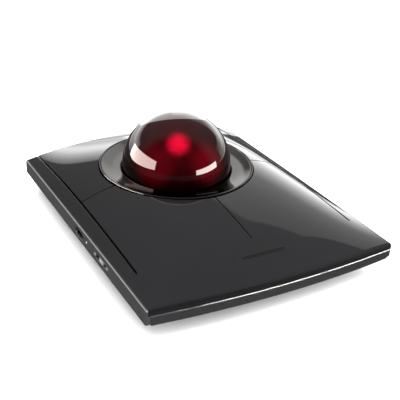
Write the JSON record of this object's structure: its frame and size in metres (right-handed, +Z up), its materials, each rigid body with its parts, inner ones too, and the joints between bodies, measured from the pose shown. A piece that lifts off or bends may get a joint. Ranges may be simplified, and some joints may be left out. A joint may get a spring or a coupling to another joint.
{
  "type": "trackball mouse",
  "caption": "Thin slab-shaped desk trackball mouse with a large red ball in a dished ring, corner press plates and a bright front trim line.",
  "frame": {"origin": "on the desk, under the centre of the slab", "axes": "+Z up, +Y away from the user, +X to the user's right"},
  "size_m": [0.124, 0.1562, 0.056],
  "materials": {
    "gloss_top": "high gloss graphite",
    "case_black": "fine matte grain",
    "cap_charcoal": "fine spark-eroded texture",
    "bright_trim": "satin bright",
    "inlay_black": "smooth",
    "ball_red": "polished deep red",
    "cup_dark": "smooth matte",
    "bezel_dark": "dark turned finish under gloss",
    "rim_bright": "polished",
    "bearing_white": "polished",
    "window_clear": "clear",
    "board_green": "solder mask over glass fibre",
    "chip_black": "moulded",
    "flat_cable": "amber film",
    "cell_wrap": "foil pouch",
    "foam_grey": "closed-cell foam",
    "wire_red": "insulated wire",
    "socket_cream": "moulded",
    "sheet_steel": "stamped",
    "screw_steel": "zinc",
    "switch_case": "moulded",
    "plunger_white": "moulded",
    "light_pipe": "clear green",
    "light_source": "lens",
    "slider_grey": "fine matte",
    "key_grey": "fine matte",
    "foot_rubber": "soft matte"
  },
  "bodies": {
    "housing": {"ball_bearing_1": "bearing_white", "ball_bearing_2": "bearing_white", "ball_bearing_3": "bearing_white", "ball_cup": "cup_dark", "battery": "cell_wrap", "battery_leads": "wire_red", "battery_pad": "foam_grey", "battery_socket": "socket_cream", "bezel_rim": "rim_bright", "bezel_ring": "bezel_dark", "board_screws": "screw_steel", "case_screws": "screw_steel", "controller_chip": "chip_black", "cup_screws": "screw_steel", "front_inlay": "inlay_black", "front_trim": "bright_trim", "left_sensor_board": "board_green", "left_sensor_chip": "chip_black", "left_sensor_window": "window_clear", "left_side_cap": "cap_charcoal", "light_chip": "light_source", "lower_case": "case_black", "lower_left_switch": "switch_case", "lower_right_switch": "switch_case", "main_board": "board_green", "mode_switch": "switch_case", "port_shell": "sheet_steel", "port_tongue": "chip_black", "radio_module": "sheet_steel", "receiver_bay": "case_black", "right_sensor_board": "board_green", "right_sensor_chip": "chip_black", "right_sensor_window": "window_clear", "right_side_cap": "cap_charcoal", "rubber_foot_1": "foot_rubber", "rubber_foot_2": "foot_rubber", "rubber_foot_3": "foot_rubber", "rubber_foot_4": "foot_rubber", "sensor_cables": "flat_cable", "side_board": "board_green", "side_cable": "flat_cable", "status_light": "light_pipe", "tact_switches": "switch_case", "top_shell": "gloss_top", "upper_left_switch": "switch_case", "upper_right_switch": "switch_case"},
    "ball": {"ball": "ball_red"},
    "mode_slider": {"mode_slider": "slider_grey"},
    "speed_button": {"speed_button": "key_grey"},
    "pairing_button": {"pairing_button": "key_grey"},
    "receiver": {"receiver_plug": "sheet_steel", "receiver_cap": "cap_charcoal"},
    "lower_left_button": {"lower_left_button": "gloss_top"},
    "lower_left_plunger": {"lower_left_plunger": "plunger_white"},
    "lower_right_button": {"lower_right_button": "gloss_top"},
    "lower_right_plunger": {"lower_right_plunger": "plunger_white"},
    "upper_left_button": {"upper_left_button": "gloss_top"},
    "upper_left_plunger": {"upper_left_plunger": "plunger_white"},
    "upper_right_button": {"upper_right_button": "gloss_top"},
    "upper_right_plunger": {"upper_right_plunger": "plunger_white"}
  },
  "joints": [
    {"name": "ball_roll", "type": "hinge", "parent": "housing", "child": "ball", "pos_m": [0, 0.0207, 0.0285], "axis": [1, 0, 0], "continuous": true},
    {"name": "lower_left_press", "type": "hinge", "parent": "housing", "child": "lower_left_button", "pos_m": [0, -0.0515, 0.0178], "axis": [-1, 0, 0], "range_deg": [0, 0.7], "stiffness_Nm_per_rad": 2.2, "springref_deg": -0.23},
    {"name": "lower_right_press", "type": "hinge", "parent": "housing", "child": "lower_right_button", "pos_m": [0, -0.0515, 0.0178], "axis": [-1, 0, 0], "range_deg": [0, 0.7], "stiffness_Nm_per_rad": 2.2, "springref_deg": -0.23},
    {"name": "upper_left_press", "type": "hinge", "parent": "housing", "child": "upper_left_button", "pos_m": [0, 0.066, 0.018], "axis": [1, 0, 0], "range_deg": [0, 1], "stiffness_Nm_per_rad": 2.2, "springref_deg": -0.23},
    {"name": "upper_right_press", "type": "hinge", "parent": "housing", "child": "upper_right_button", "pos_m": [0, 0.066, 0.018], "axis": [1, 0, 0], "range_deg": [0, 1], "stiffness_Nm_per_rad": 2.2, "springref_deg": -0.23},
    {"name": "lower_left_plunge", "type": "slide", "parent": "housing", "child": "lower_left_plunger", "axis": [0, 0, -1], "range_m": [0, 0.0006]},
    {"name": "lower_right_plunge", "type": "slide", "parent": "housing", "child": "lower_right_plunger", "axis": [0, 0, -1], "range_m": [0, 0.0006]},
    {"name": "upper_left_plunge", "type": "slide", "parent": "housing", "child": "upper_left_plunger", "axis": [0, 0, -1], "range_m": [0, 0.0005]},
    {"name": "upper_right_plunge", "type": "slide", "parent": "housing", "child": "upper_right_plunger", "axis": [0, 0, -1], "range_m": [0, 0.0005]},
    {"name": "mode_slide", "type": "slide", "parent": "housing", "child": "mode_slider", "axis": [0, 1, 0], "range_m": [-0.0025, 0.0025]},
    {"name": "speed_press", "type": "slide", "parent": "housing", "child": "speed_button", "axis": [0, 0, 1], "range_m": [0, 0.0004], "stiffness_N_per_m": 800, "springref_m": -0.0003},
    {"name": "pairing_press", "type": "slide", "parent": "housing", "child": "pairing_button", "axis": [0, 0, 1], "range_m": [0, 0.0004], "stiffness_N_per_m": 800, "springref_m": -0.0003},
    {"name": "receiver_slide", "type": "slide", "parent": "housing", "child": "receiver", "axis": [0, 1, 0], "range_m": [0, 0.0145]}
  ],
  "couplings": [
    {"joint": "lower_left_plunge", "follows": "lower_left_press", "m_per_rad": 0.0435},
    {"joint": "lower_right_plunge", "follows": "lower_right_press", "m_per_rad": 0.0435},
    {"joint": "upper_left_plunge", "follows": "upper_left_press", "m_per_rad": 0.024},
    {"joint": "upper_right_plunge", "follows": "upper_right_press", "m_per_rad": 0.024}
  ]
}
